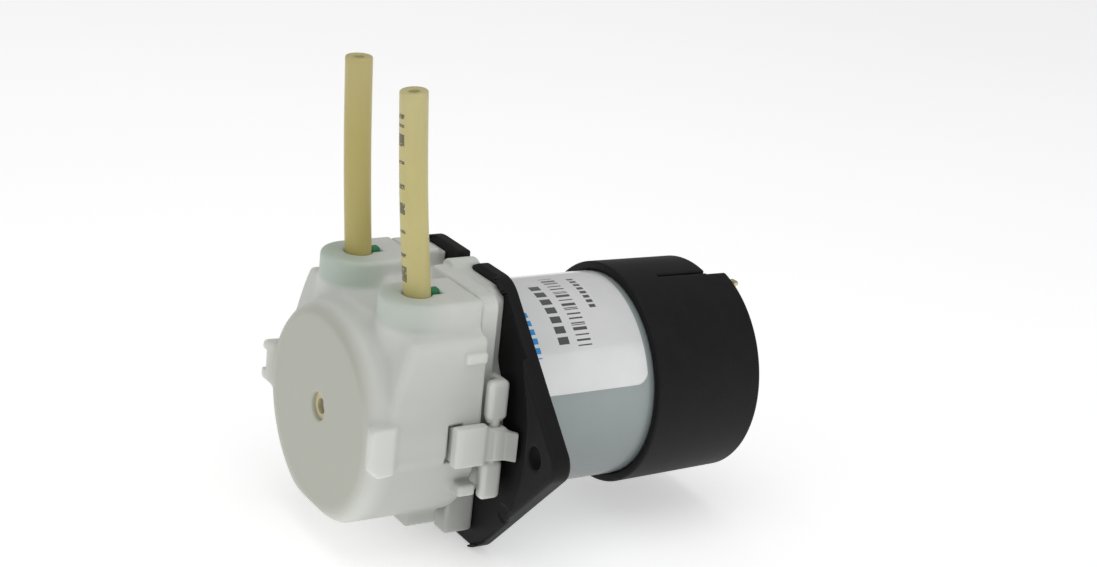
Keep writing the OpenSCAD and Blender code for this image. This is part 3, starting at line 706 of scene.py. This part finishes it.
def round_solid(name, field, radii, ys, step, material, **more):
    """A hollow round part, meshed along its own curve."""
    turn_step = step / radii[1]
    verts, faces = net(field, (-math.pi, ys[0], radii[0]), (math.pi, ys[1], radii[1]),
                       (turn_step, step, min(step, 0.2)), warp=around)
    make(name, verts, faces, material, **more)


def lathe(name, outline, material, segments, **more):
    """Closed outline of (radius, y) points turned about the shaft."""
    n = len(outline)
    verts, faces = [], []
    for i in range(segments):
        a = 2 * math.pi * i / segments
        verts += [(r * math.sin(a), y, r * math.cos(a)) for r, y in outline]
    for i in range(segments):
        j = (i + 1) % segments
        for k in range(n):
            m = (k + 1) % n
            faces.append((i * n + k, j * n + k, j * n + m, i * n + m))
    make(name, verts, faces, material, **more)


def arc(cx, cy, r, a0, a1, steps):
    """Points of a rounded corner in an outline."""
    return [(cx + r * math.cos(math.radians(a0 + (a1 - a0) * i / steps)),
             cy + r * math.sin(math.radians(a0 + (a1 - a0) * i / steps)))
            for i in range(steps + 1)]


# ---------------------------------------------------------------- tube
def ease(t):
    """0 up to t = 0, 1 from t = 1 on, smooth between them."""
    t = min(1, max(0, t))
    return t * t * (3 - 2 * t)


def tube_route():
    """Centre points with how round the section is, from the left cut end to the right one."""
    # in degrees from the bottom: where the flattened loop starts to swell, and where it ends
    swell_from, loop_to = 106, 120
    loop_r, loop_round, loop_steps = 13.55, 0.45, 44
    half = []
    for i in range(loop_steps + 1):
        a = loop_to * i / loop_steps
        swell = ease((a - swell_from) / (loop_to - swell_from))
        r = loop_r + 0.5 * swell
        half.append((r * math.sin(math.radians(a)), LOOP_Y, -r * math.cos(math.radians(a)),
                     loop_round * swell))
    # a short curve from the loop's end up into the leg
    x0, _, z0, _ = half[-1]
    way = math.radians(loop_to)
    bend = [(x0, z0), (x0 + 1.6 * math.cos(way), z0 + 1.6 * math.sin(way)),
            (LEG_X, 11.4), (LEG_X, LEG_START)]
    bend_steps = 12
    for i in range(1, bend_steps + 1):
        t = i / bend_steps
        w = [(1 - t) ** 3, 3 * t * (1 - t) ** 2, 3 * t * t * (1 - t), t ** 3]
        half.append((sum(k * c[0] for k, c in zip(w, bend)), LOOP_Y + 0.66 * ease(t),
                     sum(k * c[1] for k, c in zip(w, bend)),
                     loop_round + (1 - loop_round) * ease(t)))
    # each leg leans forwards and bows a little
    leg_steps = 40
    out = {}
    for side in (-1, 1):
        pts = [(side * x, y, z, k) for x, y, z, k in half]
        c, s = math.cos(LEAN[side]), math.sin(LEAN[side])
        for i in range(1, leg_steps + 1):
            h = LEG_START + LEG_L * i / leg_steps
            bow = 0.22 * math.sin(math.pi * min(1, max(0, (h - 20) / 29)))
            pts.append((side * LEG_X - side * bow * 0.4, LEG_Y - (h - LEG_PIVOT) * s - bow,
                        LEG_PIVOT + (h - LEG_PIVOT) * c, 1.0))
        out[side] = pts
    return out[-1][:0:-1] + out[1]


def tube_piece():
    route = tube_route()
    n = 40
    points = np.array([r[:3] for r in route])
    along = np.gradient(points, axis=0)
    along /= np.linalg.norm(along, axis=1, keepdims=True)
    verts, faces = [], []

    def ring(i, wide, deep, inset=0.0, slant=0.0):
        """Ring of points across the route; slant tilts a cut end a little."""
        d = along[i]
        across = np.cross(d, (0, 1, 0))
        across /= np.linalg.norm(across)
        behind = np.cross(across, d)
        base = len(verts)
        for k in range(n):
            a = 2 * math.pi * k / n
            wave = slant * math.sin(a + 0.7)
            verts.append(points[i] + across * wide * math.cos(a) + behind * deep * math.sin(a)
                         + d * (inset + wave))
        return base

    def bridge(a, b):
        for k in range(n):
            m = (k + 1) % n
            faces.append((b + k, b + m, a + m, a + k))

    def section(k):
        """Half-width and half-depth: flat where k is 0, round where it is 1."""
        return 1.0 + (TUBE_R - 1.0) * k, 2.55 + (TUBE_R - 2.55) * k

    last = len(route) - 1
    rim_r = TUBE_R - 0.12
    outer = [ring(0, rim_r, rim_r, 0.0, 0.05), ring(0, TUBE_R, TUBE_R, 0.14, 0.04)]
    outer += [ring(i, *section(route[i][3])) for i in range(1, last)]
    outer += [ring(last, TUBE_R, TUBE_R, -0.14, 0.04), ring(last, rim_r, rim_r, 0.0, 0.05)]
    for a, b in zip(outer, outer[1:]):
        bridge(a, b)
    # the bore runs down both straight legs and ends blind
    bore_steps = 36
    for start, way in ((last, -1), (0, 1)):
        rings = [outer[-1] if way < 0 else outer[0]]
        rings.append(ring(start, BORE_R + 0.1, BORE_R + 0.1, 0.0, 0.03))
        rings.append(ring(start, BORE_R, BORE_R, 0.12 * way, 0.02))
        for i in range(2, bore_steps, 2):
            rings.append(ring(start + way * i, BORE_R, BORE_R))
        for a, b in zip(rings, rings[1:]):
            if way < 0:
                bridge(a, b)
            else:
                bridge(b, a)
        end = rings[-1]
        faces.append([end + k for k in (range(n - 1, -1, -1) if way < 0 else range(n))])
    make("tube_loop", verts, faces, "tube", replaces=["pump_tube"])


def label_piece():
    """Thin film wrapped round the can's top, with rounded corners."""
    y0, y1, half_turn, corner_r, thick = 0.7, 22.9, 75.0, 1.8, 0.07
    rows, cols = 46, 120
    verts, faces = [], []
    for layer in (CAN_R + thick, CAN_R + 0.005):
        for j in range(rows + 1):
            y = y0 + (y1 - y0) * (0.5 - 0.5 * math.cos(math.pi * j / rows))
            near = min(y - y0, y1 - y)
            inset = corner_r - math.sqrt(max(0, corner_r * corner_r - max(0, corner_r - near) ** 2))
            reach = math.radians(half_turn) - inset / CAN_R
            for i in range(cols + 1):
                a = -reach + 2 * reach * i / cols
                verts.append((layer * math.sin(a), y, layer * math.cos(a)))
    w = cols + 1
    layer_n = w * (rows + 1)
    for j in range(rows):
        for i in range(cols):
            a = j * w + i
            faces.append((a, a + 1, a + w + 1, a + w))
            faces.append(tuple(layer_n + k for k in (a, a + w, a + w + 1, a + 1)))
    rim = list(range(w)) + [j * w + cols for j in range(1, rows + 1)]
    rim += [rows * w + i for i in range(cols - 1, -1, -1)]
    rim += [j * w for j in range(rows - 1, 0, -1)]
    for a, b in zip(rim, rim[1:] + rim[:1]):
        faces.append((a, layer_n + a, layer_n + b, b))
    make("can_label", verts, faces, "label", replaces=["motor_label"])


def can_piece():
    # inside, the front boss, the rounded front edge, then the outside, narrower in the sleeve
    outline = [(CAN_IN, CAN_REAR), (CAN_IN, 1.0), (3.0, 1.0), (3.0, -2.4)]
    outline += arc(4.7, -2.1, 0.3, -90, 0, 3) + [(5.0, 0.0)]
    outline += [(14.2, 0.0)] + arc(CAN_IN, 1.0, 1.0, -90, 0, 6)
    outline += [(CAN_R, y) for y in (4, 8, 12, 16, 20, 23)]
    outline += [(CAN_R, 23.3), (CAN_R - 0.05, 23.5), (CAN_R - 0.05, 38.2), (CAN_R - 0.2, CAN_REAR)]
    lathe("can_shell", outline, "can", 160, replaces=["motor_can"])


def clip_piece(side, word):
    """Small clip behind a tube leg, cut to the tube's round."""
    def field(p):
        a, b, c = leg_frame(p, side)
        body = rounded([np.abs(a) - 0.75, span(b, 1.5, 3.4), span(c, 13.8, 20.35)], 0.45)
        return cut(body, np.hypot(a, b) - TUBE_R - 0.02, 0.1)

    x = side * LEG_X
    solid(f"clip_{word}", field, (x - 1.6, -14.6, 13.2), (x + 1.6, -9.6, 21.2), 0.12,
          "green_clip", replaces=[f"tube_clip_{word}"])


def terminal_piece(side, word):
    """Flat tag through the end cap, bent outwards behind the sleeve's rim."""
    def field(p):
        x, y, z = p
        x, z = x * side - 4.35, z * side - 13.45
        straight = rounded([np.abs(x) - 0.95, span(y, 35.4, 43.3), np.abs(z) - 0.25], 0.1)
        c, s = math.cos(math.radians(28)), math.sin(math.radians(28))
        past = y - SLEEVE_REAR
        out, lift = past * c + z * s, z * c - past * s
        bent = rounded([rounded([np.abs(x) - 0.95, span(out, -0.1, 2.7)], 0.5),
                        np.abs(lift) - 0.25], 0.1)
        bent = cut(bent, np.hypot(x, out - 1.7) - 0.5, 0.1)
        return smin(straight, bent, 0.15)

    (x0, x1), (z0, z1) = (sorted((side * a, side * b)) for a, b in ((3.1, 5.6), (12.9, 15.3)))
    solid(f"solder_tag_{word}", field, (x0, 35.0, z0), (x1, 46.0, z1), 0.13,
          "terminal", replaces=[f"terminal_{word}"])


def build_pieces():
    step = 0.24
    solid("head_shell", head_cover, (-20.6, -26.4, -18), (20.6, -6.2, 21), step,
          "white_plastic", replaces=["head_cover"])
    solid("head_back", head_base, (-19.6, -7.8, -20), (19.6, 0.4, 22.9), step,
          "white_plastic", replaces=["head_base"])
    for side, word in SIDES:
        verts, faces = net(latch_field, (15.8, -12.6, -4.2), (21.8, -1.6, 3.4), (0.14,) * 3)
        if side < 0:
            verts = verts * (-1, 1, 1)
            faces = faces[:, ::-1]
        make(f"latch_lever_{word}", verts, faces, "white_plastic", body=f"latch_{word}",
             replaces=[f"latch_{word}"])
    solid("flange_plate", plate_field, (-32, -3.8, -22.4), (32, 0.8, 22.4), 0.34,
          "black_plate", replaces=["mounting_plate"])
    round_solid("sleeve", sleeve_field, (13.8, 18.2), (23.0, 44.0), 0.3, "black_sleeve",
                replaces=["rear_sleeve"])
    can_piece()
    label_piece()
    tube_piece()
    for side, word in SIDES:
        clip_piece(side, word)
    terminal_piece(1, "top")
    terminal_piece(-1, "bottom")


CAD_LOOKS = {
    "cage": ["rotor_front_plate", "rotor_rear_plate", "thrust_washers"],
    "steel": ["roller_pins", "motor_shaft", "magnet_clips", "motor_screws"],
    "roller": ["roller_1", "roller_2", "roller_3"],
    "brass": ["drive_sleeve", "front_bush", "rear_bush"],
    "lamination": ["armature_core"],
    "copper": ["armature_windings", "commutator"],
    "magnet": ["magnet_right", "magnet_left"],
    "carbon": ["brush_top", "brush_bottom"],
    "black_cap": ["end_cap"],
}


def dress_cad():
    for look, names in CAD_LOOKS.items():
        for name in names:
            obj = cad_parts[name]
            obj.data.materials.clear()
            obj.data.materials.append(MATS[look])


# ---------------------------------------------------------------- stage
def area_light(name, place, size, power):
    """White light aimed at the shaft."""
    data = bpy.data.lights.new(name, "AREA")
    data.shape = "RECTANGLE"
    data.size, data.size_y = size
    data.energy = power
    obj = bpy.data.objects.new(name, data)
    obj.location = place
    obj.rotation_euler = (-Vector(place)).to_track_quat("-Z", "Y").to_euler()
    bpy.context.scene.collection.objects.link(obj)


def build_stage():
    # the floor lies just under the plate's flat bottom edge
    floor_z = -21.6 * MM
    mesh = bpy.data.meshes.new("floor")
    half = 3.0
    mesh.from_pydata([(-half, -half, floor_z), (half, -half, floor_z), (half, half, floor_z),
                      (-half, half, floor_z)], [], [(0, 1, 2, 3)])
    floor = bpy.data.objects.new("floor", mesh)
    bpy.context.scene.collection.objects.link(floor)
    m = Mat("floor", rough=0.9)
    m.colour(m.ramp(m.noise(0.004, 2), (0.3, (0.9, 0.9, 0.9)), (0.7, (0.93, 0.93, 0.93))))
    m.bsdf.inputs["Emission Color"].default_value = (1, 1, 1, 1)
    m.bsdf.inputs["Emission Strength"].default_value = 0.45
    floor.data.materials.append(m.m)
    world = bpy.data.worlds.new("world")
    world.use_nodes = True
    sky = world.node_tree.nodes["Background"]
    sky.inputs["Color"].default_value = (1, 1, 1, 1)
    sky.inputs["Strength"].default_value = 0.4
    bpy.context.scene.world = world
    area_light("key", (0.12, -0.05, 0.5), (0.45, 0.45), 0.75)
    area_light("left", (0.05, -0.55, 0.3), (0.4, 0.4), 0.22)
    area_light("right", (0.45, 0.25, 0.2), (0.3, 0.4), 0.25)


build_materials()
build_pieces()
dress_cad()
build_stage()
